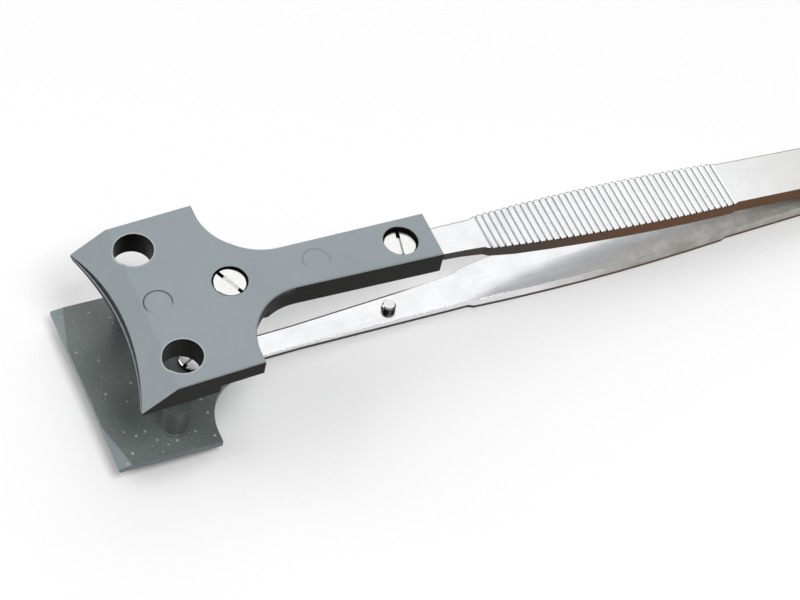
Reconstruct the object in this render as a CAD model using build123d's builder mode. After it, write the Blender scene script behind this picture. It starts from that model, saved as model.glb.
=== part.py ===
from build123d import *
import math
import os

os.makedirs("parts", exist_ok=True)

# Wafer tweezers: two sprung steel leaves joined at the tail, a moulded upper jaw with a crescent
# front and a thin moulded lower jaw with two stop studs.
# Frame: the origin is the centre of the flat face of the lower leaf that the tweezers lie on, X runs
# from the jaws to the tail, Y across, Z up.
# Local lengths: u along the tool from the line of the two holes, v across, n up from the mid plane
# in which the two leaves meet.

# leaves
lower_tip_u = 4.5           # front end of the lower leaf
upper_tip_u = 6.0           # front end of the upper leaf
lower_flat_u = 15.0         # the lower leaf is flat up to here, under its jaw
upper_flat_u = 26.0         # the upper leaf is flat up to here, inside its jaw
belly_u = 44.0              # where each leaf bends
belly_n = 6.95              # outer face from the mid plane at the bend
lower_front_n = 8.30        # outer face of the lower leaf under its jaw
upper_front_n = 7.60        # outer face of the upper leaf in its jaw
weld_u = 118.0              # start of the welded tail
tail_u = 130.0              # end of the tail
tail_n = 1.47               # leaf thickness at the end of the tail
front_thick = 1.00          # leaf thickness inside the jaws
neck_thick = 1.35           # leaf thickness at the neck
grip_thick = 2.05           # leaf thickness at the start of the grip
neck_run = 4.0              # how far before and after the grip's start the thickness changes
tip_half = 1.75             # half width of the tips
taper_u = 22.0              # where the tips start to widen
neck_half = 2.55            # half width where the neck meets the grip
shoulder = 0.8              # length of the steps in width before and behind the grip
grip_u = 47.9               # start of the grip
wide_u = 71.0               # widest place
grip_end_u = 87.0           # end of the serrated grip
grip_start_half = 2.95      # half width at the start of the grip
grip_half = 4.12            # widest half width
grip_end_half = 3.92        # half width at the end of the serrations
rear_half = 3.66            # half width behind the serrations
tail_half = 3.45            # half width at the tail
tail_round = 1.6            # corner radius of the tail
groove_pitch = 1.047
groove_count = 38
groove_depth = 0.34
groove_width = 0.62

# upper jaw
wafer_r = 38.1              # radius of the wafer whose rim the crescent follows
jaw_half = 13.75            # half width of both jaws
jaw_thick = 3.76
crescent_u = -4.30          # deepest place of the crescent
nose_edge = 0.45            # thickness of the front edge at the tips of the crescent
bevel_reach = 4.70          # how far the bevel reaches back from the crescent
wing_back_u = 9.80
wing_arc_r = 8.60           # radius between the wings and the stem, and behind the lower plate
bend_u = 12.2               # where the head plate meets the stem
head_rise = 5.02            # degrees the head plate rises towards the tail
head_n = 8.57               # top of the head plate at the line of the holes
stem_end_u = 40.0
stem_end_n = 9.20
stem_half_front = 3.50
stem_half_end = 3.72
wing_relief = 1.25          # step in the underside of the wings
relief_u = 3.75
relief_gap = 0.9            # the step stays this far out from the stem
hole_v = 9.20
hole_r = 2.70
bore_r = 2.45               # counterbores of the two screws
screw_front_u = 10.1
screw_rear_u = 35.1
edge_round = 0.25           # rounding of the jaw's upper edges
fit_gap = 0.05              # clearance between a leaf and its groove

# screws
head_r = 2.30
head_thick = 0.85
head_chamfer = 0.12
shank_r = 1.00
thread_gap = 0.02
slot_width = 0.56
slot_depth = 0.45
front_screw_top = 9.18
rear_screw_top = 8.52
front_slot_turn = -63.5     # directions of the slots, degrees from the tool's axis
rear_slot_turn = 78.4
jaw_slot_turn = 30.0

# lower jaw
plate_front_u = -9.05
plate_back_u = 5.65
plate_top_n = -6.85
plate_thick = 1.00
tongue_end_u = 14.6
stud_u = 0.35
stud_r = 1.85
stud_height = 4.50
stud_collar_r = 2.15
stud_collar_h = 0.22
patch_half = 6.35           # the corner bevels start this far from the axis on the front edge
patch_back = 1.9            # and reach this far back at the sides
patch_drop = 0.28
jaw_screw_u = 6.60
jaw_screw_r = 2.10
jaw_screw_thick = 0.70

# stop pin
pin_u = 35.8
pin_r = 0.98
pin_height = 1.05
pin_chamfer = 0.20
pin_recess = 0.08           # its riveted end lies this deep in the lower leaf

cut_over = 1.0              # overrun of the cutting shapes

# The outer face of the lower leaf behind its bend is the face that the tweezers lie on.
leaf_slope = (belly_n - tail_n) / (tail_u - belly_u)
tilt = math.atan(leaf_slope)
mid_height = belly_u * math.sin(tilt) + belly_n * math.cos(tilt)
rest_u = (belly_u + tail_u) / 2
rest_n = (belly_n + tail_n) / 2
start_x = rest_n * math.sin(tilt) - rest_u * math.cos(tilt)
tool = Plane(origin=(start_x, 0, mid_height), x_dir=(math.cos(tilt), 0, -math.sin(tilt)),
             z_dir=(math.sin(tilt), 0, math.cos(tilt)))
# side view: local x is u, local y is n, the normal points to the near side
side = Plane(origin=(start_x, 0, mid_height), x_dir=(math.cos(tilt), 0, -math.sin(tilt)), z_dir=(0, -1, 0))

wafer_u = crescent_u - wafer_r
nose_u = wafer_u + math.sqrt(wafer_r ** 2 - jaw_half ** 2)
head_slope = math.tan(math.radians(head_rise))
bend_n = head_n + head_slope * bend_u
floor_n = head_n + head_slope * nose_u - jaw_thick
edge_n = floor_n + nose_edge + head_slope * (crescent_u - nose_u)
kink_u = crescent_u + bevel_reach
tool_height = 2 * (belly_n + jaw_thick)


def head_top(u):
    """top of the head plate"""
    return head_n + head_slope * u


def stem_top(u):
    return bend_n + (stem_end_n - bend_n) * (u - bend_u) / (stem_end_u - bend_u)


def outline(faces):
    """the edges that belong to only one of the faces"""
    edges = faces.edges()
    return [edge for edge in edges if sum(edge.is_same(other) for other in edges) == 1]


def outer_n(u, flat_u, front_n):
    """distance of a leaf's outer face from the mid plane"""
    if u < belly_u:
        return front_n + (belly_n - front_n) * max(0, u - flat_u) / (belly_u - flat_u)
    return belly_n - leaf_slope * (u - belly_u)


def inner_n(u, flat_u, front_n):
    """distance of a leaf's inner face from the mid plane, between its flat front and the neck"""
    neck_u = grip_u - neck_run
    neck_n = outer_n(neck_u, flat_u, front_n) - neck_thick
    return front_n - front_thick + (neck_n - front_n + front_thick) * max(0, u - flat_u) / (neck_u - flat_u)


def leaf_profile(front_u, flat_u, front_n, sign):
    """side view of one leaf; sign is 1 for the upper leaf and -1 for the lower one"""
    neck_u = grip_u - neck_run
    full_u = grip_u + neck_run
    outer = [(front_u, front_n), (flat_u, front_n), (belly_u, belly_n), (tail_u, tail_n)]
    inner = [(tail_u, 0), (weld_u, 0), (full_u, outer_n(full_u, flat_u, front_n) - grip_thick),
             (neck_u, outer_n(neck_u, flat_u, front_n) - neck_thick),
             (flat_u, front_n - front_thick), (front_u, front_n - front_thick)]
    with BuildSketch(mode=Mode.PRIVATE) as profile:
        with BuildLine():
            Polyline(*[(u, sign * n) for u, n in outer + inner], close=True)
        make_face()
    return profile.sketch


def leaf_plan(front_u, grow=0.0):
    """plan of one leaf from its rounded tip to the tail; grow widens the part that lies in a jaw"""
    tip = tip_half + grow
    with BuildSketch(mode=Mode.PRIVATE) as plan:
        with BuildLine():
            ThreePointArc((front_u + tip_half, tip), (front_u - grow, 0), (front_u + tip_half, -tip))
            for s in (1, -1):
                Polyline((front_u + tip_half, s * tip), (taper_u, s * tip),
                         (grip_u - shoulder, s * (neck_half + grow)), (grip_u, s * grip_start_half))
                ThreePointArc((grip_u, s * grip_start_half), (wide_u, s * grip_half),
                              (grip_end_u, s * grip_end_half))
                Polyline((grip_end_u, s * grip_end_half), (grip_end_u + shoulder, s * rear_half),
                         (tail_u, s * tail_half))
            Line((tail_u, -tail_half), (tail_u, tail_half))
        make_face()
    return plan.sketch


def slotted(top, thick, radius, bottom, turn):
    """screw with a flat slotted head and a plain shank, drawn about the local Z axis"""
    with BuildPart(mode=Mode.PRIVATE) as screw:
        with Locations((0, 0, top)):
            Cylinder(radius, thick, align=(Align.CENTER, Align.CENTER, Align.MAX))
        chamfer(screw.edges().group_by(Axis.Z)[-1], head_chamfer)
        with Locations(Location((0, 0, top), (0, 0, turn))):
            Box(4 * radius, slot_width, 2 * slot_depth, mode=Mode.SUBTRACT)
        with Locations((0, 0, bottom)):
            Cylinder(shank_r, top - thick - bottom, align=(Align.CENTER, Align.CENTER, Align.MIN))
    return screw.part


def tail_corners(leaf):
    """the two edges across the thickness of the tail's corners"""
    end_x = (tool * Location((tail_u, 0, 0))).position.X
    return leaf.edges().filter_by(Axis.Z, tolerance=2 * math.degrees(tilt)).filter_by_position(
        Axis.X, end_x - tail_round, end_x + tail_round)


upper_profile = leaf_profile(upper_tip_u, upper_flat_u, upper_front_n, 1)
lower_profile = leaf_profile(lower_tip_u, lower_flat_u, lower_front_n, -1)
upper_plan = leaf_plan(upper_tip_u)
lower_plan = leaf_plan(lower_tip_u)
upper_slot_plan = leaf_plan(upper_tip_u, fit_gap)
lower_slot_plan = leaf_plan(lower_tip_u, fit_gap)

# Upper leaf: side view cut to its plan, then the cross serrations of the outer face.
with BuildPart() as upper_arm:
    with BuildSketch(side):
        add(upper_profile)
    extrude(amount=grip_half + cut_over, both=True)
    with BuildSketch(tool.offset(-tool_height / 2)):
        add(upper_plan)
    extrude(amount=tool_height, mode=Mode.INTERSECT)
    fillet(tail_corners(upper_arm), radius=tail_round)
    with BuildSketch(side):
        for k in range(groove_count):
            u = grip_u + groove_width / 2 + k * groove_pitch
            with Locations((u, outer_n(u, upper_flat_u, upper_front_n))):
                Polygon((-groove_width / 2, groove_depth / 5), (0, -groove_depth),
                        (groove_width / 2, groove_depth / 5), align=None)
    extrude(amount=grip_half + cut_over, both=True, mode=Mode.SUBTRACT)
    with Locations(*[tool * Location((u, 0, 0)) for u in (screw_front_u, screw_rear_u)]):
        Cylinder(shank_r + thread_gap, tool_height, mode=Mode.SUBTRACT)
upper_arm.part.label = "upper_arm"
export_step(upper_arm.part, "parts/upper_arm.step")

# Lower leaf: the same blank, smooth, with holes for the jaw's screw and for the stop pin.
with BuildPart() as lower_arm:
    with BuildSketch(side):
        add(lower_profile)
    extrude(amount=grip_half + cut_over, both=True)
    with BuildSketch(tool.offset(-tool_height / 2)):
        add(lower_plan)
    extrude(amount=tool_height, mode=Mode.INTERSECT)
    fillet(tail_corners(lower_arm), radius=tail_round)
    with Locations(tool * Location((jaw_screw_u, 0, 0))):
        Cylinder(shank_r + thread_gap, tool_height, mode=Mode.SUBTRACT)
    with Locations(tool * Location((pin_u, 0, 0))):
        Cylinder(pin_r + thread_gap, tool_height, mode=Mode.SUBTRACT)
lower_arm.part.label = "lower_arm"
export_step(lower_arm.part, "parts/lower_arm.step")

# Space of the upper leaf's front end, cut into the underside of the upper jaw.
with BuildPart() as leaf_slot:
    with BuildSketch(side):
        with BuildLine():
            Polyline((upper_tip_u - cut_over, upper_front_n), (upper_flat_u, upper_front_n),
                     (belly_u, belly_n), (belly_u, 0), (upper_tip_u - cut_over, 0), close=True)
        make_face()
    extrude(amount=grip_half, both=True)
    with BuildSketch(tool):
        add(upper_slot_plan)
    extrude(amount=tool_height, mode=Mode.INTERSECT)

# Upper jaw: plan cut to its side view, bevel turned about the wafer's centre, the groove for the
# leaf, two holes for the studs and two counterbored screw holes.
bevel_rise = head_top(kink_u) - edge_n
arc_u = wing_back_u + wing_arc_r
arc_v = stem_half_front + wing_arc_r
arc_mid = wing_arc_r / math.sqrt(2)
with BuildPart() as upper_jaw:
    with BuildSketch(tool.offset(floor_n - cut_over)):
        with BuildLine():
            ThreePointArc((nose_u, jaw_half), (crescent_u, 0), (nose_u, -jaw_half))
            for s in (1, -1):
                Polyline((nose_u, s * jaw_half), (wing_back_u, s * jaw_half), (wing_back_u, s * arc_v))
                ThreePointArc((wing_back_u, s * arc_v), (arc_u - arc_mid, s * (arc_v - arc_mid)),
                              (arc_u, s * stem_half_front))
                Line((arc_u, s * stem_half_front), (stem_end_u, s * stem_half_end))
            Line((stem_end_u, -stem_half_end), (stem_end_u, stem_half_end))
        make_face()
    extrude(amount=tool_height)
    with BuildSketch(side):
        with BuildLine():
            Polyline((nose_u - cut_over, head_top(nose_u - cut_over) - jaw_thick), (bend_u, bend_n - jaw_thick),
                     (stem_end_u + cut_over, stem_top(stem_end_u + cut_over) - jaw_thick),
                     (stem_end_u + cut_over, stem_top(stem_end_u + cut_over)),
                     (bend_u, bend_n), (nose_u - cut_over, head_top(nose_u - cut_over)), close=True)
        make_face()
    extrude(amount=jaw_half + cut_over, both=True, mode=Mode.INTERSECT)
    # bevel behind the crescent
    with BuildSketch(side):
        with BuildLine():
            Polyline((crescent_u - bevel_reach, edge_n - bevel_rise), (kink_u + bevel_reach, edge_n + 2 * bevel_rise),
                     (crescent_u - bevel_reach, edge_n + 2 * bevel_rise), close=True)
        make_face()
    revolve(axis=Axis((tool * Location((wafer_u, 0, 0))).position, tool.z_dir),
            mode=Mode.SUBTRACT)
    fillet(outline(upper_jaw.faces().filter_by(lambda face: face.normal_at().Z > 0.5)), radius=edge_round)
    # stepped underside of the two wings
    for y in (stem_half_end + relief_gap, -stem_half_end - relief_gap - jaw_half):
        with BuildSketch(side.offset(y)):
            with BuildLine():
                relief_n = head_top(relief_u) - jaw_thick
                Polyline((relief_u, relief_n - cut_over), (relief_u, relief_n + wing_relief),
                         (bend_u, bend_n - jaw_thick + wing_relief), (arc_u, bend_n - jaw_thick + wing_relief),
                         (arc_u, relief_n - cut_over), close=True)
            make_face()
        extrude(amount=jaw_half, mode=Mode.SUBTRACT)
    add(leaf_slot.part, mode=Mode.SUBTRACT)
    with Locations(*[tool * Location((0, v, head_n)) for v in (hole_v, -hole_v)]):
        Cylinder(hole_r, 4 * jaw_thick, mode=Mode.SUBTRACT)
    for u, top in ((screw_front_u, front_screw_top), (screw_rear_u, rear_screw_top)):
        with Locations(tool * Location((u, 0, top - head_thick))):
            Cylinder(bore_r, jaw_thick, align=(Align.CENTER, Align.CENTER, Align.MIN), mode=Mode.SUBTRACT)
            Cylinder(shank_r + thread_gap, 2 * jaw_thick, mode=Mode.SUBTRACT)
upper_jaw.part.label = "upper_jaw"
export_step(upper_jaw.part, "parts/upper_jaw.step")

# Slotted screws of the upper jaw.
front_screw = slotted(front_screw_top, head_thick, head_r,
                      inner_n(screw_front_u, upper_flat_u, upper_front_n), front_slot_turn)
with BuildPart() as front_head_screw:
    with Locations(tool * Location((screw_front_u, 0, 0))):
        add(front_screw)
front_head_screw.part.label = "front_head_screw"
export_step(front_head_screw.part, "parts/front_head_screw.step")

rear_screw = slotted(rear_screw_top, head_thick, head_r,
                     inner_n(screw_rear_u, upper_flat_u, upper_front_n), rear_slot_turn)
with BuildPart() as rear_head_screw:
    with Locations(tool * Location((screw_rear_u, 0, 0))):
        add(rear_screw)
rear_head_screw.part.label = "rear_head_screw"
export_step(rear_head_screw.part, "parts/rear_head_screw.step")

# Lower jaw: thin plate with two stop studs, its underside grooved for the lower leaf.
plate_arc_u = plate_back_u + wing_arc_r
with BuildPart() as lower_jaw:
    with BuildSketch(tool.offset(plate_top_n - plate_thick)):
        with BuildLine():
            Line((plate_front_u, jaw_half), (plate_front_u, -jaw_half))
            for s in (1, -1):
                Polyline((plate_front_u, s * jaw_half), (plate_back_u, s * jaw_half), (plate_back_u, s * arc_v))
                ThreePointArc((plate_back_u, s * arc_v), (plate_arc_u - arc_mid, s * (arc_v - arc_mid)),
                              (plate_arc_u, s * stem_half_front))
                Line((plate_arc_u, s * stem_half_front), (tongue_end_u, s * stem_half_front))
            Line((tongue_end_u, -stem_half_front), (tongue_end_u, stem_half_front))
        make_face()
    extrude(amount=plate_thick)
    # shallow bevels of the two front corners
    for s in (1, -1):
        inner_end = tool.from_local_coords(Vector(plate_front_u, s * patch_half, plate_top_n))
        side_end = tool.from_local_coords(Vector(plate_front_u + patch_back, s * jaw_half, plate_top_n))
        corner = tool.from_local_coords(Vector(plate_front_u, s * jaw_half, plate_top_n - patch_drop))
        up = (side_end - inner_end).cross(corner - inner_end) * s
        with BuildSketch(Plane(origin=inner_end, x_dir=side_end - inner_end, z_dir=up)):
            Rectangle(2 * jaw_half, jaw_half, align=(Align.CENTER, Align.MIN if s > 0 else Align.MAX))
        extrude(amount=plate_thick, mode=Mode.SUBTRACT)
    with Locations(*[tool * Location((stud_u, v, plate_top_n)) for v in (hole_v, -hole_v)]):
        Cylinder(stud_r, stud_height, align=(Align.CENTER, Align.CENTER, Align.MIN))
        Cylinder(stud_collar_r, stud_collar_h, align=(Align.CENTER, Align.CENTER, Align.MIN))
    with BuildSketch(tool.offset(-lower_front_n + front_thick)):
        add(lower_slot_plan)
    extrude(amount=-plate_thick, mode=Mode.SUBTRACT)
    with Locations(tool * Location((jaw_screw_u, 0, plate_top_n))):
        Cylinder(shank_r + thread_gap, 4 * plate_thick, mode=Mode.SUBTRACT)
lower_jaw.part.label = "lower_jaw"
export_step(lower_jaw.part, "parts/lower_jaw.step")

jaw_screw = slotted(plate_top_n + jaw_screw_thick, jaw_screw_thick, jaw_screw_r, -lower_front_n,
                    jaw_slot_turn)
with BuildPart() as lower_jaw_screw:
    with Locations(tool * Location((jaw_screw_u, 0, 0))):
        add(jaw_screw)
lower_jaw_screw.part.label = "lower_jaw_screw"
export_step(lower_jaw_screw.part, "parts/lower_jaw_screw.step")

# Stop pin, riveted into the lower leaf below the rear screw.
pin_foot = -outer_n(pin_u - pin_r, lower_flat_u, lower_front_n) + pin_recess
pin_head = -inner_n(pin_u, lower_flat_u, lower_front_n) + pin_height
with BuildPart() as stop_pin:
    with Locations(tool * Location((pin_u, 0, pin_foot))):
        Cylinder(pin_r, pin_head - pin_foot, align=(Align.CENTER, Align.CENTER, Align.MIN))
    chamfer(stop_pin.edges().group_by(Axis.Z)[-1], pin_chamfer)
stop_pin.part.label = "stop_pin"
export_step(stop_pin.part, "parts/stop_pin.step")
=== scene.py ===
import math

import bpy
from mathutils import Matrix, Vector


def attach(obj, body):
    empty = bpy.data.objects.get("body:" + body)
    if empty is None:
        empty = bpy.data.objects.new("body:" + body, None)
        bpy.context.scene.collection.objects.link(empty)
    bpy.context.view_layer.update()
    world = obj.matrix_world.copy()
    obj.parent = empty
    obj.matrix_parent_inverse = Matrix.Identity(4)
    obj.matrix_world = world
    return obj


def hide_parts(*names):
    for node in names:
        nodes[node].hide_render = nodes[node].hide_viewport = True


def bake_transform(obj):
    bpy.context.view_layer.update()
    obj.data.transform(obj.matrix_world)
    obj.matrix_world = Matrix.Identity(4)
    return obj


MM = 0.001

# Lengths up here are in millimetres: u along the tool from the line of its two stud holes, v across,
# n up from the mid plane in which the two leaves meet.

# leaves
FLAT_U = 15.0               # the lower leaf is flat up to here, under its jaw
FRONT_N = 8.30              # outer face of the lower leaf under its jaw
BELLY_U = 44.0              # where each leaf bends
BELLY_N = 6.95              # outer faces at the bend
WELD_U = 118.0              # start of the welded tail
TAIL_U = 130.0              # end of the tail
TAIL_N = 1.47               # outer faces at the end of the tail
TAPER_U = 22.0              # where the tips start to widen
TIP_HALF = 1.75             # half width of the tips
SHOULDER = 0.8              # length of the steps in width before and behind the grip
NECK_HALF = 2.55            # half width where the neck meets the grip
GRIP_U = 47.9               # start of the grip
GRIP_START_HALF = 2.95      # half width at the start of the grip
WIDE_U = 71.0               # widest place
WIDE_HALF = 4.12            # widest half width
GRIP_END_U = 87.0           # end of the grip
GRIP_END_HALF = 3.92        # half width at the end of the grip
REAR_HALF = 3.66            # half width behind the grip
TAIL_HALF = 3.45            # half width at the tail

# jaws
HEAD_TOP = 8.57             # top of the upper jaw at the stud holes
HEAD_SLOPE = math.tan(math.radians(5.02))
HOLE_V = 9.2                # stud holes, either side of the middle
HOLE_R = 2.7
EJECTOR_R = 1.9             # round marks left by the mould's ejector pins
EJECTOR_LINE = 0.16
PLATE_TOP = -6.85           # top of the lower jaw

# screws: place along the tool, top of the head and its radius
FRONT_SCREW = (10.1, 9.18, 2.30)
REAR_SCREW = (35.1, 8.52, 2.30)
JAW_SCREW = (6.6, -6.15, 2.10)

# the tool lies on the straight part of its lower leaf, with the origin in the middle of that face
LEAF_SLOPE = (BELLY_N - TAIL_N) / (TAIL_U - BELLY_U)
TILT = math.atan(LEAF_SLOPE)
ALONG = Vector((math.cos(TILT), 0, -math.sin(TILT)))
ACROSS = Vector((0, 1, 0))
UP = Vector((math.sin(TILT), 0, math.cos(TILT)))
START = UP * (BELLY_N + TAIL_N) / 2 - ALONG * (BELLY_U + TAIL_U) / 2

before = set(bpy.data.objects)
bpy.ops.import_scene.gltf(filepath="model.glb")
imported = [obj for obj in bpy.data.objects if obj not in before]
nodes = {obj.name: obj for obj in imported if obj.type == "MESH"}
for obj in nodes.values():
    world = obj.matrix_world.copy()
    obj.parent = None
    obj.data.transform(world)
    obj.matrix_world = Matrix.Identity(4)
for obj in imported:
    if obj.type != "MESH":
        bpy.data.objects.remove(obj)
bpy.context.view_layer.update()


def lean(u, v, n):
    """A direction given along, across and up from the tool's mid plane."""
    return (u * ALONG + v * ACROSS + n * UP).normalized()


def place(u, v, n):
    """A point given in millimetres along, across and up from the tool's mid plane."""
    return (START + u * ALONG + v * ACROSS + n * UP) * MM


def head_top(u):
    """Height of the upper jaw's top at a place along the tool, in millimetres."""
    return HEAD_TOP + HEAD_SLOPE * u


# pieces that take the place of a solid

def edit(piece):
    """Opens a piece in edit mode with all of it selected."""
    bpy.ops.object.select_all(action="DESELECT")
    piece.select_set(True)
    bpy.context.view_layer.objects.active = piece
    bpy.ops.object.mode_set(mode="EDIT")
    bpy.ops.mesh.select_all(action="SELECT")


def merged_copy(node, name):
    """A copy of a CAD node with its loose triangles joined."""
    piece = bpy.data.objects.new(name, nodes[node].data.copy())
    bpy.context.scene.collection.objects.link(piece)
    edit(piece)
    bpy.ops.mesh.customdata_custom_splitnormals_clear()
    bpy.ops.mesh.remove_doubles(threshold=1e-7)
    bpy.ops.object.mode_set(mode="OBJECT")
    return piece


def saw_off(piece, point, away):
    """Cuts off what lies beyond a plane and closes the cut; the new face stays selected."""
    edit(piece)
    bpy.ops.mesh.bisect(plane_co=point, plane_no=away, use_fill=True, clear_outer=True, threshold=1e-7)


def upright_cylinder(u, v, radius, sides):
    """A tall cutting cylinder through the upper jaw, square to the tool's mid plane."""
    bpy.ops.object.select_all(action="DESELECT")
    bpy.ops.mesh.primitive_cylinder_add(vertices=sides, radius=radius * MM, depth=20 * MM,
                                        location=place(u, v, HEAD_TOP), rotation=(0, TILT, 0))
    bpy.ops.object.transform_apply(location=True, rotation=True, scale=True)
    return bpy.context.object


def cut_with(piece, cutter):
    """Takes the cutter's shape out of the piece."""
    bpy.ops.object.select_all(action="DESELECT")
    piece.select_set(True)
    bpy.context.view_layer.objects.active = piece
    cut = piece.modifiers.new("cut", "BOOLEAN")
    cut.operation = "DIFFERENCE"
    cut.solver = "EXACT"
    cut.object = cutter
    bpy.ops.object.modifier_apply(modifier=cut.name)
    bpy.data.objects.remove(cutter)


def bending_upper_leaf():
    """The upper leaf, cut across into short stretches from the grip to past its weld, where a leaf bends as
    the jaws close.
    """
    stiff_u = 60                # the leaf turns with its jaw in front of here
    span = 4                    # length of one bending stretch
    leaf = merged_copy("upper_arm", "upper_leaf_spring")
    edit(leaf)
    for u in range(stiff_u - span, int(WELD_U) + span, span):
        bpy.ops.mesh.select_all(action="SELECT")
        bpy.ops.mesh.bisect(plane_co=place(u, 0, 0), plane_no=ALONG, threshold=1e-7)
    bpy.ops.object.mode_set(mode="OBJECT")
    bpy.ops.object.shade_smooth_by_angle(angle=math.radians(2))
    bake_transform(leaf)
    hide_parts("upper_arm")


def upper_jaw_with_flat_bevel():
    """The moulded head with a flat bevel and a thin lip along the foot of its crescent."""
    back_u = 3.2                # behind here the head stays as it is
    tip_u = -6.95               # tips of the crescent
    kink_u = -2.10              # straight line where the bevel begins
    bevel_slope = 0.7817
    foot_u, foot_r = -45.90, 41.07      # centre and radius of the arc along the lip
    upper_u, upper_r = -44.30, 39.70    # the same of the tighter arc above the lip
    lip_u, lip_n = -4.7, 5.10   # top of the lip in the middle of the crescent
    lip_slope = 0.302
    arc_sides, hole_sides = 360, 96
    jaw = merged_copy("upper_jaw", "upper_jaw_moulding")
    # in front of the wings the head is plain, so its section there is drawn out to the tips
    saw_off(jaw, place(back_u, 0, HEAD_TOP), -ALONG)
    reach = (tip_u - back_u) * MM * (ALONG + HEAD_SLOPE * UP)
    bpy.ops.mesh.extrude_region_move(TRANSFORM_OT_translate={"value": reach})
    bpy.ops.object.mode_set(mode="OBJECT")
    saw_off(jaw, place(kink_u, 0, head_top(kink_u)), lean(-bevel_slope, 0, 1))
    bpy.ops.object.mode_set(mode="OBJECT")
    cut_with(jaw, upright_cylinder(foot_u, 0, foot_r, arc_sides))
    above_lip = upright_cylinder(upper_u, 0, upper_r, arc_sides)
    saw_off(above_lip, place(lip_u, 0, lip_n), lean(lip_slope, 0, -1))
    bpy.ops.object.mode_set(mode="OBJECT")
    cut_with(jaw, above_lip)
    for v in (HOLE_V, -HOLE_V):
        cut_with(jaw, upright_cylinder(0, v, HOLE_R, hole_sides))
    bpy.ops.object.shade_smooth_by_angle(angle=math.radians(30))
    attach(jaw, "upper_half")
    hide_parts("upper_jaw")


# helpers for node trees

def new_material(name):
    """An empty node material: the material, its tree and its shader."""
    material = bpy.data.materials.new(name)
    material.use_nodes = True
    tree = material.node_tree
    return material, tree, tree.nodes["Principled BSDF"]


def feed(tree, socket, value):
    """Sets a socket to a number or colour, or links it to another socket."""
    if isinstance(value, bpy.types.NodeSocket):
        tree.links.new(value, socket)
    elif isinstance(value, tuple) and len(value) == 3 and len(socket.default_value) == 4:
        socket.default_value = (*value, 1)
    else:
        socket.default_value = value


def add_node(tree, kind, **values):
    """A node whose sockets are set or linked by name."""
    node = tree.nodes.new(kind)
    for name, value in values.items():
        feed(tree, node.inputs[name.replace("_", " ")], value)
    return node


def calc(tree, operation, a, b=0.0):
    """The result of a sum or other operation on one or two values."""
    node = tree.nodes.new("ShaderNodeMath")
    node.operation = operation
    feed(tree, node.inputs[0], a)
    feed(tree, node.inputs[1], b)
    return node.outputs[0]


def both(tree, a, b):
    """1 where both values are 1, 0 where either is 0."""
    return calc(tree, "MULTIPLY", a, b)


def step(tree, value, low, high):
    """0 below low, 1 above high and smooth between; falling when low is the larger one."""
    node = add_node(tree, "ShaderNodeMapRange", Value=value, From_Min=low, From_Max=high)
    node.interpolation_type = "SMOOTHSTEP"
    return node.outputs["Result"]


def mix(tree, factor, first, second):
    """The first colour where the factor is 0, the second where it is 1."""
    node = tree.nodes.new("ShaderNodeMix")
    node.data_type = "RGBA"
    feed(tree, node.inputs[0], factor)
    feed(tree, node.inputs[6], first)
    feed(tree, node.inputs[7], second)
    return node.outputs[2]


def ramp(tree, value, *stops):
    """A colour ramp; each stop is a place and a colour or a grey."""
    node = tree.nodes.new("ShaderNodeValToRGB")
    while len(node.color_ramp.elements) < len(stops):
        node.color_ramp.elements.new(0.5)
    for element, (position, colour) in zip(node.color_ramp.elements, stops):
        grey = (colour, colour, colour) if isinstance(colour, float) else colour
        element.position = position
        element.color = (*grey, 1)
    tree.links.new(value, node.inputs["Fac"])
    return node.outputs["Color"]


def object_coordinates(tree, stretch=(1, 1, 1)):
    """The piece's own coordinates, in metres."""
    coordinates = tree.nodes.new("ShaderNodeTexCoord")
    mapping = add_node(tree, "ShaderNodeMapping", Scale=stretch)
    tree.links.new(coordinates.outputs["Object"], mapping.inputs["Vector"])
    return mapping.outputs["Vector"]


def noise(tree, scale, detail=3.0, rough=0.5, stretch=(1, 1, 1)):
    """Noise in the piece's own space; scale is in cells per metre."""
    return add_node(tree, "ShaderNodeTexNoise", Scale=scale, Detail=detail, Roughness=rough,
                    Vector=object_coordinates(tree, stretch)).outputs["Fac"]


def local_axes(tree, centre):
    """The coordinates along, across and up from a point of the tool, as three sockets."""
    coordinates = tree.nodes.new("ShaderNodeTexCoord")
    mapping = add_node(tree, "ShaderNodeMapping", Location=tuple(centre), Rotation=(0, TILT, 0),
                       Vector=coordinates.outputs["Object"])
    mapping.vector_type = "TEXTURE"
    return add_node(tree, "ShaderNodeSeparateXYZ", Vector=mapping.outputs["Vector"]).outputs


def radius_about(tree, centre):
    """Distance from the upright axis through a point of the tool, and the height above the point."""
    x, y, z = local_axes(tree, centre)
    square = calc(tree, "ADD", calc(tree, "MULTIPLY", x, x), calc(tree, "MULTIPLY", y, y))
    return calc(tree, "SQRT", square), z


def flatness(tree):
    """How far a face looks straight up or down, from 0 on an upright wall to 1."""
    coordinates = tree.nodes.new("ShaderNodeTexCoord")
    axes = add_node(tree, "ShaderNodeSeparateXYZ", Vector=coordinates.outputs["Normal"])
    return calc(tree, "ABSOLUTE", axes.outputs["Z"])


def faces_up(tree):
    """1 on faces that look up or down, 0 on upright walls."""
    return step(tree, flatness(tree), 0.15, 0.45)


def ring(tree, centre, radius, width):
    """Thin round line about a point of the tool."""
    away, _ = radius_about(tree, centre)
    off = calc(tree, "ABSOLUTE", calc(tree, "SUBTRACT", away, radius * MM))
    return step(tree, off, width * MM, 0.3 * width * MM)


def bump(tree, shader, height, distance, strength, edge=0.0):
    """Relief on the surface, over edges that look rounded by the given radius."""
    node = add_node(tree, "ShaderNodeBump", Strength=strength, Distance=distance, Height=height)
    if edge:
        rounded = add_node(tree, "ShaderNodeBevel", Radius=edge).outputs["Normal"]
        tree.links.new(rounded, node.inputs["Normal"])
    tree.links.new(node.outputs["Normal"], shader.inputs["Normal"])


# shape of the leaves, as the finishes need it

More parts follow.
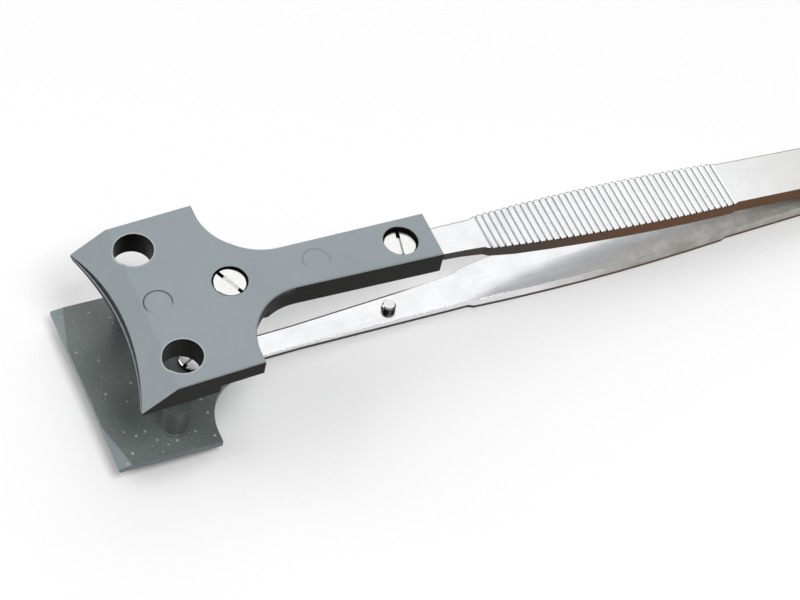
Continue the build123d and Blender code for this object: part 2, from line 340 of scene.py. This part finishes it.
def half_width(u):
    """Half width of a leaf at a place along the tool, in millimetres."""
    sides = ((TAPER_U, TIP_HALF), (GRIP_U - SHOULDER, NECK_HALF), (GRIP_U, GRIP_START_HALF),
             (GRIP_END_U, GRIP_END_HALF), (GRIP_END_U + SHOULDER, REAR_HALF), (TAIL_U, TAIL_HALF))

    def straight(at):
        for (u0, half0), (u1, half1) in zip(sides, sides[1:]):
            if at <= u1:
                return half0 + (half1 - half0) * (at - u0) / (u1 - u0)

    # the grip's sides are shallow arcs through the widest place
    bow = (WIDE_HALF - straight(WIDE_U)) / ((WIDE_U - GRIP_U) * (GRIP_END_U - WIDE_U))
    return straight(u) + bow * max(0, u - GRIP_U) * max(0, GRIP_END_U - u)


def from_far_edge(tree, u, v):
    """Distance of a point from the side of a leaf that v points to."""
    full = 5.0                  # half width that the ramp's white stands for
    places = (TAPER_U, GRIP_U - SHOULDER, GRIP_U, *range(52, 87, 5), GRIP_END_U - 0.1,
              GRIP_END_U + SHOULDER, TAIL_U)
    stops = [(at / TAIL_U, half_width(at) / full) for at in places]
    share = ramp(tree, calc(tree, "DIVIDE", u, TAIL_U * MM), *stops)
    return calc(tree, "SUBTRACT", calc(tree, "MULTIPLY", share, full * MM), v)


def leaf_outside(tree, u):
    """Distance of a leaf's outer face from the mid plane, at a place along the tool."""
    outside = FRONT_N * MM
    for slope in ((FRONT_N - BELLY_N) / (BELLY_U - FLAT_U), LEAF_SLOPE):
        stretch = calc(tree, "SUBTRACT", (BELLY_N + slope * BELLY_U) * MM, calc(tree, "MULTIPLY", u, slope))
        outside = calc(tree, "MINIMUM", outside, stretch)
    return outside


# finishes, with painted light and shade

def clean_steel(tree):
    """Polished spring steel, slightly clouded."""
    clouds = noise(tree, 260, 4.0, 0.6)
    return ramp(tree, clouds, (0.35, (0.69, 0.695, 0.70)), (0.65, (0.75, 0.755, 0.765)))


def leaf_surface(tree, shader, x, polished_unshaded, face, edge):
    """Fine grinding lines on a leaf's smooth faces, and rougher sides painted dark as shade, turning brown
    to the tail as a painted reflection.
    """
    # painted shade: the sides are painted dark, and brown towards the tail as a painted reflection
    wall = mix(tree, step(tree, x, 47 * MM, 74 * MM), (0.058, 0.050, 0.044), (0.130, 0.062, 0.028))
    tree.links.new(mix(tree, polished_unshaded, wall, face), shader.inputs["Base Color"])
    lines = noise(tree, 2600, 2.0, stretch=(0.03, 1, 1))
    gloss = ramp(tree, lines, (0.3, 0.14), (0.7, 0.24))
    tree.links.new(mix(tree, polished_unshaded, (0.45, 0.45, 0.45), gloss), shader.inputs["Roughness"])
    bump(tree, shader, lines, 0.003 * MM, 0.5, edge)


def upper_leaf_steel():
    """Steel with painted shade in the grooves of the grip and along the far edge, a little darker towards
    the tail.
    """
    material, tree, shader = new_material("upper_leaf_steel")
    shader.inputs["Metallic"].default_value = 1.0
    x, y, height = local_axes(tree, place(0, 0, 0))
    face = mix(tree, step(tree, x, 84 * MM, 104 * MM), clean_steel(tree), (0.62, 0.615, 0.60))
    # painted shade: the grooves of the grip are painted darker
    depth = calc(tree, "SUBTRACT", leaf_outside(tree, x), height)
    groove = both(tree, step(tree, depth, 0.10 * MM, 0.28 * MM), step(tree, depth, 0.60 * MM, 0.45 * MM))
    groove = both(tree, groove, step(tree, x, 46 * MM, 47 * MM))
    face = mix(tree, calc(tree, "MULTIPLY", groove, 0.3), face, (0.30, 0.30, 0.31))
    # painted shade: the grooves are painted black where they run out at the near side
    near_edge = from_far_edge(tree, x, calc(tree, "MULTIPLY", y, -1.0))
    run_out = both(tree, groove, step(tree, near_edge, 0.60 * MM, 0.30 * MM))
    face = mix(tree, run_out, face, (0.02, 0.018, 0.016))
    # painted shade: a thin grey line is painted along the far edge
    far = step(tree, from_far_edge(tree, x, y), 0.19 * MM, 0.08 * MM)
    face = mix(tree, calc(tree, "MULTIPLY", far, 0.85), face, (0.24, 0.24, 0.24))
    leaf_surface(tree, shader, x, faces_up(tree), face, 0.06 * MM)
    return material


def lower_leaf_steel():
    """Steel with a painted reflection of the upper leaf towards the tail, and a painted highlight on its
    walls over a thin line of painted shade.
    """
    material, tree, shader = new_material("lower_leaf_steel")
    x, y, height = local_axes(tree, place(0, 0, 0))
    # painted reflection: the upper leaf's dark underside is painted on the leaf towards the tail, beginning
    # along a slanting, uneven line
    front = calc(tree, "SUBTRACT", x, calc(tree, "MULTIPLY", y, 6.0))
    front = calc(tree, "ADD", front, calc(tree, "MULTIPLY", noise(tree, 170, 3.0, 0.6), 16 * MM))
    painted_reflection = step(tree, front, 86 * MM, 108 * MM)
    # the painted reflection is mottled and turns brown at the tail end; the metal is made less metallic
    # under it
    mottling = noise(tree, 420, 4.0, 0.7)
    mottled_reflection = ramp(tree, mottling, (0.34, (0.46, 0.43, 0.39)), (0.66, (0.68, 0.66, 0.63)))
    mottled_reflection = mix(tree, step(tree, x, 98 * MM, 114 * MM), mottled_reflection, (0.38, 0.33, 0.27))
    feed(tree, shader.inputs["Metallic"], calc(tree, "SUBTRACT", 1.0, calc(tree, "MULTIPLY", painted_reflection, 0.55)))
    face = mix(tree, painted_reflection, clean_steel(tree), mottled_reflection)
    # painted shade: the far edge is painted dark in front of the bend
    far = step(tree, from_far_edge(tree, x, y), 0.26 * MM, 0.14 * MM)
    far = both(tree, far, step(tree, x, 43 * MM, 37 * MM))
    face = mix(tree, far, face, (0.045, 0.042, 0.040))
    # painted highlight: the walls are painted near white above a line just over the outer face, in front of
    # the painted reflection; below that line the painted shade of the sides shows as a thin dark line
    up = faces_up(tree)
    face = mix(tree, up, mix(tree, painted_reflection, (0.93, 0.93, 0.94), mottled_reflection), face)
    above_line = step(tree, calc(tree, "ADD", height, leaf_outside(tree, x)), 0.40 * MM, 0.62 * MM)
    leaf_surface(tree, shader, x, calc(tree, "MAXIMUM", up, above_line), face, 0.14 * MM)
    return material


def screw_steel(name, screw):
    """Bright turned steel, with painted shade that makes the ends of the slot and the side of the head dark.
    """
    material, tree, shader = new_material(name)
    shader.inputs["Metallic"].default_value = 1.0
    u, top, radius = screw
    grain = noise(tree, 1600, 3.0)
    away, height = radius_about(tree, place(u, 0, top))
    # painted shade: near black away from the axis and below the top, at the slot's ends and on the head's
    # side
    outer = step(tree, away, 0.56 * radius * MM, 0.66 * radius * MM)
    below = step(tree, height, -0.06 * MM, -0.16 * MM)
    bright = ramp(tree, grain, (0.3, (0.68, 0.68, 0.675)), (0.7, (0.78, 0.78, 0.775)))
    colour = mix(tree, both(tree, outer, below), bright, (0.02, 0.02, 0.02))
    tree.links.new(colour, shader.inputs["Base Color"])
    tree.links.new(ramp(tree, grain, (0.3, 0.16), (0.7, 0.26)), shader.inputs["Roughness"])
    return material


def pin_steel():
    """Bright steel on the pin's top, with painted shade making its side near black."""
    material, tree, shader = new_material("pin_steel")
    shader.inputs["Metallic"].default_value = 1.0
    grain = noise(tree, 1600, 3.0)
    face = ramp(tree, grain, (0.3, (0.62, 0.62, 0.61)), (0.7, (0.70, 0.70, 0.69)))
    # painted shade: the pin's side is painted near black
    tree.links.new(mix(tree, faces_up(tree), (0.018, 0.016, 0.014), face), shader.inputs["Base Color"])
    tree.links.new(ramp(tree, grain, (0.3, 0.14), (0.7, 0.24)), shader.inputs["Roughness"])
    return material


def ejector_marks(tree):
    """The two faint marks on the head, each an open ring; the rear one is the fainter."""
    faint = calc(tree, "MULTIPLY", ring(tree, place(22.6, 0, 0), EJECTOR_R, EJECTOR_LINE), 0.35)
    marks = calc(tree, "MAXIMUM", ring(tree, place(0, 0, 0), EJECTOR_R, EJECTOR_LINE), faint)
    _, across, _ = local_axes(tree, place(0, -0.5, 0))
    return both(tree, marks, step(tree, across, -0.9 * MM, 0.3 * MM))


def jaw_plastic():
    """Grey moulded plastic: satin upper faces, walls painted near black as shade, painted highlights on the
    rounded edges and hole rims.
    """
    material, tree, shader = new_material("grey_moulding")
    level = flatness(tree)
    flow = noise(tree, 130, 3.0, 0.55)
    grain = noise(tree, 5000, 2.0)
    face = ramp(tree, flow, (0.3, (0.268, 0.304, 0.322)), (0.7, (0.288, 0.322, 0.342)))
    # painted highlight: a pale ring is painted round the edge of each stud hole
    for v in (HOLE_V, -HOLE_V):
        rim_highlight = ring(tree, place(0, v, 0), HOLE_R + 0.10, 0.12)
        face = mix(tree, rim_highlight, face, (0.42, 0.45, 0.46))
    marks = ejector_marks(tree)
    face = mix(tree, marks, face, (0.060, 0.072, 0.080))
    # painted highlight: the rounded edges between the upper faces and the walls are painted paler
    rounded = both(tree, step(tree, level, 0.20, 0.40), step(tree, level, 0.70, 0.58))
    face = mix(tree, rounded, face, (0.36, 0.39, 0.40))
    # painted shade: the walls are painted near black, a shaded copy of the grey upper faces
    up = step(tree, level, 0.06, 0.18)
    tree.links.new(mix(tree, up, (0.004, 0.004, 0.003), face), shader.inputs["Base Color"])
    tree.links.new(ramp(tree, grain, (0.3, 0.42), (0.7, 0.50)), shader.inputs["Roughness"])
    shader.inputs["Specular IOR Level"].default_value = 0.15
    bump(tree, shader, calc(tree, "SUBTRACT", grain, marks), 0.006 * MM, 0.4, 0.14 * MM)
    return material


def white_dust(tree):
    """Round specks and small flecks on the faces that look up."""
    cells = add_node(tree, "ShaderNodeTexVoronoi", Scale=760.0, Vector=object_coordinates(tree))
    pick = add_node(tree, "ShaderNodeSeparateXYZ", Vector=cells.outputs["Color"]).outputs["X"]
    speck = both(tree, step(tree, cells.outputs["Distance"], 0.20, 0.06), step(tree, pick, 0.50, 0.60))
    fleck = step(tree, noise(tree, 2600, 4.0, 0.7), 0.60, 0.74)
    dust = calc(tree, "MAXIMUM", speck, calc(tree, "MULTIPLY", fleck, 0.6))
    return both(tree, dust, faces_up(tree))


def plate_plastic():
    """Dark glossy moulded plastic, painted paler below its top face as a painted highlight, with a little
    white dust on it.
    """
    material, tree, shader = new_material("dark_moulding")
    flow = noise(tree, 90, 3.0, 0.5)
    face = ramp(tree, flow, (0.3, (0.120, 0.138, 0.132)), (0.7, (0.142, 0.164, 0.158)))
    _, _, height = local_axes(tree, place(0, 0, PLATE_TOP))
    # painted highlight: the edges and sides below the top face are painted paler
    face = mix(tree, step(tree, height, -0.008 * MM, -0.03 * MM), face, (0.215, 0.250, 0.262))
    dust = white_dust(tree)
    gloss = ramp(tree, flow, (0.3, 0.24), (0.7, 0.30))
    tree.links.new(mix(tree, dust, face, (0.42, 0.44, 0.43)), shader.inputs["Base Color"])
    tree.links.new(mix(tree, dust, gloss, (0.8, 0.8, 0.8)), shader.inputs["Roughness"])
    bump(tree, shader, noise(tree, 700, 2.0), 0.004 * MM, 0.4, 0.08 * MM)
    return material


FINISHES = {
    "upper_arm": upper_leaf_steel(),
    "lower_arm": lower_leaf_steel(),
    "upper_jaw": jaw_plastic(),
    "lower_jaw": plate_plastic(),
    "front_head_screw": screw_steel("front_screw_steel", FRONT_SCREW),
    "rear_head_screw": screw_steel("rear_screw_steel", REAR_SCREW),
    "lower_jaw_screw": screw_steel("jaw_screw_steel", JAW_SCREW),
    "stop_pin": pin_steel(),
}

for name, finish in FINISHES.items():
    nodes[name].data.materials.clear()
    nodes[name].data.materials.append(finish)

# the copies take the finishes with them
upper_jaw_with_flat_bevel()
bending_upper_leaf()


# studio

def seen_directly(tree):
    """1 for what is seen directly or in a mirror, 0 for the soft light that bounces."""
    path = tree.nodes.new("ShaderNodeLightPath")
    direct = calc(tree, "MAXIMUM", path.outputs["Is Camera Ray"], path.outputs["Is Glossy Ray"])
    return calc(tree, "MAXIMUM", direct, path.outputs["Is Transmission Ray"])


def table():
    """A white table that keeps the shadow and throws little light back on the piece."""
    bpy.ops.object.select_all(action="DESELECT")
    bpy.ops.mesh.primitive_plane_add(size=6, location=(0, 0, 0))
    top = bpy.context.object
    top.name = "table"
    material, tree, shader = new_material("table_white")
    seen = seen_directly(tree)
    colour = mix(tree, seen, (0.30, 0.30, 0.30), (0.84, 0.84, 0.84))
    tree.links.new(colour, shader.inputs["Base Color"])
    shader.inputs["Roughness"].default_value = 0.9
    shader.inputs["Specular IOR Level"].default_value = 0.0
    glow = add_node(tree, "ShaderNodeEmission", Strength=calc(tree, "MULTIPLY", seen, 0.08))
    together = tree.nodes.new("ShaderNodeAddShader")
    tree.links.new(shader.outputs[0], together.inputs[0])
    tree.links.new(glow.outputs[0], together.inputs[1])
    tree.links.new(together.outputs[0], tree.nodes["Material Output"].inputs["Surface"])
    top.data.materials.append(material)


def softbox(name, towards, size, level):
    """A square lamp aimed at the piece; level is its brightness, where 1 is white."""
    target = Vector((-0.03, 0, 0.01))
    distance = 0.70
    data = bpy.data.lights.new(name, "AREA")
    data.shape = "SQUARE"
    data.size = size
    data.energy = math.pi * size ** 2 * level
    lamp = bpy.data.objects.new(name, data)
    lamp.location = target + distance * Vector(towards).normalized()
    lamp.rotation_euler = (target - lamp.location).to_track_quat("-Z", "Y").to_euler()
    bpy.context.scene.collection.objects.link(lamp)


def room():
    """Soft room light: bright overhead, dim towards the horizon, white where the camera sees it."""
    world = bpy.data.worlds.new("studio")
    world.use_nodes = True
    tree = world.node_tree
    towards = tree.nodes.new("ShaderNodeVectorMath")
    towards.operation = "DOT_PRODUCT"
    tree.links.new(tree.nodes.new("ShaderNodeTexCoord").outputs["Generated"], towards.inputs[0])
    towards.inputs[1].default_value = Vector((0.05, 0.25, 0.95)).normalized()
    level = add_node(tree, "ShaderNodeMapRange", Value=towards.outputs["Value"],
                     From_Min=0.08, From_Max=1.0, To_Min=0.05, To_Max=0.60)
    level.interpolation_type = "SMOOTHSTEP"
    path = tree.nodes.new("ShaderNodeLightPath")
    background = tree.nodes["Background"]
    background.inputs["Color"].default_value = (1, 1, 1, 1)
    strength = calc(tree, "MAXIMUM", level.outputs["Result"], path.outputs["Is Camera Ray"])
    tree.links.new(strength, background.inputs["Strength"])
    bpy.context.scene.world = world


def camera():
    """The photograph's viewpoint, solved from the jaw, screw and leaf edges."""
    data = bpy.data.cameras.new("camera")
    data.sensor_width = 36
    data.lens = 128.0519
    data.shift_x = -0.0037497
    data.shift_y = 0.0055148
    data.clip_start = 0.01
    eye = bpy.data.objects.new("camera", data)
    eye.location = (-0.17342053, -0.20659354, 0.31847220)
    eye.rotation_euler = (0.64374067, -0.09933652, -0.41088321)
    bpy.context.scene.collection.objects.link(eye)
    bpy.context.scene.camera = eye


table()
room()
softbox("far_softbox", (0.50, 0.53, 0.69), 0.62, 0.72)
softbox("near_softbox", (0.05, -0.42, 0.90), 0.28, 10.0)
softbox("left_softbox", (-0.75, 0.35, 0.55), 0.50, 2.2)
camera()
bpy.context.scene.view_settings.view_transform = "Standard"
